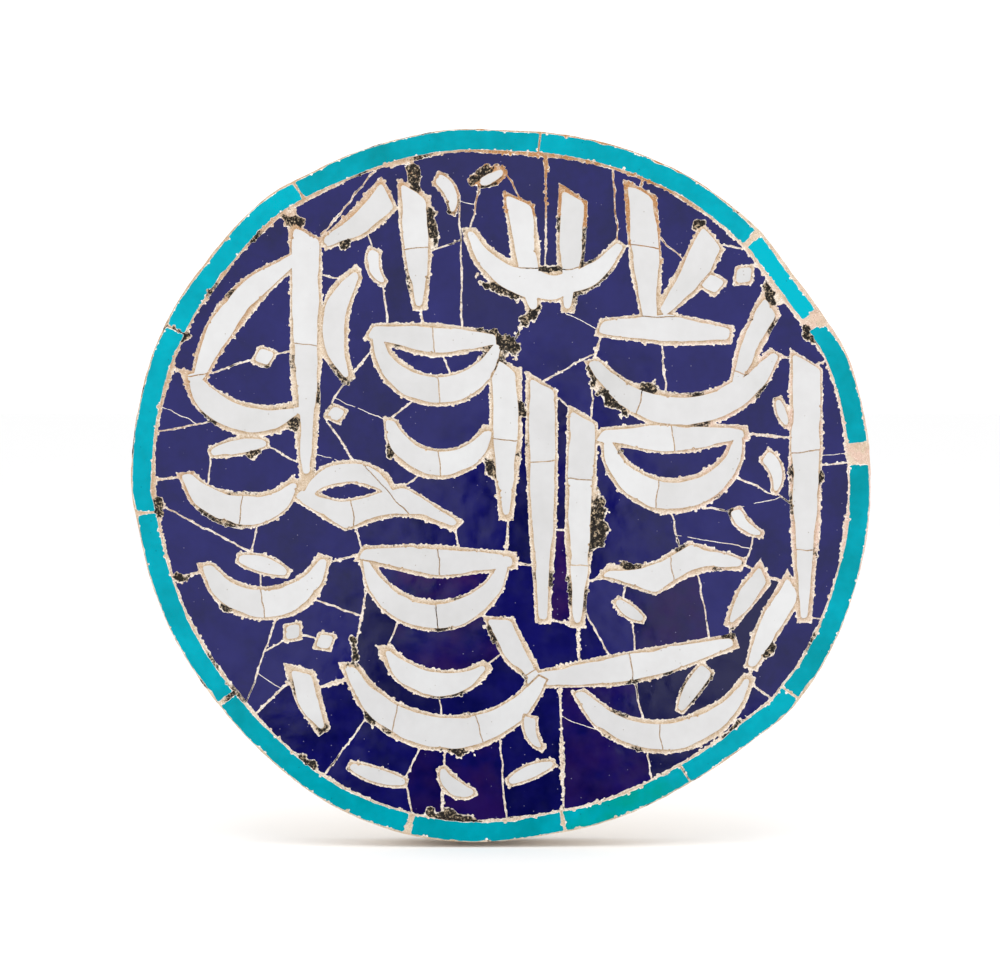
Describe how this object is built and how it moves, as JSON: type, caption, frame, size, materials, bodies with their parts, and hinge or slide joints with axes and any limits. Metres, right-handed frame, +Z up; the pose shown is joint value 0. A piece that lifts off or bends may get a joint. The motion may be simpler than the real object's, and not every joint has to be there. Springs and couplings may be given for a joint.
{
  "type": "calligraphic mosaic tile",
  "caption": "Round wall panel of cut-tile mosaic: rows of white pen strokes that spell nothing on a cobalt ground, with a turquoise border, set in plaster.",
  "frame": {"origin": "middle of the flat back of the plaster, where it meets the wall", "axes": "+Y out of the back towards the wall, the tile face looks along -Y, +Z up, +X to the right as seen from the front"},
  "size_m": [0.6008, 0.042, 0.5807],
  "materials": {
    "plaster": "matte",
    "glaze_turquoise": "gloss",
    "glaze_cobalt": "gloss",
    "glaze_white": "gloss"
  },
  "bodies": {
    "root": {"plaster_bed": "plaster", "border_tile_01": "glaze_turquoise", "border_tile_02": "glaze_turquoise", "border_tile_03": "glaze_turquoise", "border_tile_04": "glaze_turquoise", "border_tile_05": "glaze_turquoise", "border_tile_06": "glaze_turquoise", "border_tile_07": "glaze_turquoise", "border_tile_08": "glaze_turquoise", "border_tile_09": "glaze_turquoise", "border_tile_10": "glaze_turquoise", "border_tile_11": "glaze_turquoise", "border_tile_12": "glaze_turquoise", "ground_tile_01": "glaze_cobalt", "ground_tile_02": "glaze_cobalt", "ground_tile_03": "glaze_cobalt", "ground_tile_04": "glaze_cobalt", "ground_tile_05": "glaze_cobalt", "ground_tile_06": "glaze_cobalt", "ground_tile_07": "glaze_cobalt", "ground_tile_08": "glaze_cobalt", "ground_tile_09": "glaze_cobalt", "ground_tile_10": "glaze_cobalt", "ground_tile_11": "glaze_cobalt", "ground_tile_12": "glaze_cobalt", "ground_tile_13": "glaze_cobalt", "ground_tile_14": "glaze_cobalt", "ground_tile_15": "glaze_cobalt", "ground_tile_16": "glaze_cobalt", "ground_tile_17": "glaze_cobalt", "ground_tile_18": "glaze_cobalt", "ground_tile_19": "glaze_cobalt", "ground_tile_20": "glaze_cobalt", "ground_tile_21": "glaze_cobalt", "row1_slash": "glaze_white", "row1_blade": "glaze_white", "row1_basket": "glaze_white", "row1_fan": "glaze_white", "row2_sail": "glaze_white", "row2_crescent": "glaze_white", "row2_lidded_bowl": "glaze_white", "row2_bowl": "glaze_white", "row3_bowl": "glaze_white", "row3_blade_left": "glaze_white", "row3_blade_middle": "glaze_white", "row3_blade_right": "glaze_white", "row3_eye": "glaze_white", "row3_inner_bowl": "glaze_white", "row3_lidded_bowl": "glaze_white", "row3_blade_end": "glaze_white", "row4_bowl": "glaze_white", "row4_lidded_bowl": "glaze_white", "row4_wave": "glaze_white", "row4_slash_01": "glaze_white", "row4_slash_02": "glaze_white", "row5_bowl_left": "glaze_white", "row5_inner_bowl": "glaze_white", "row5_slash": "glaze_white", "row5_lid": "glaze_white", "row5_bowl_right": "glaze_white"}
  },
  "joints": []
}
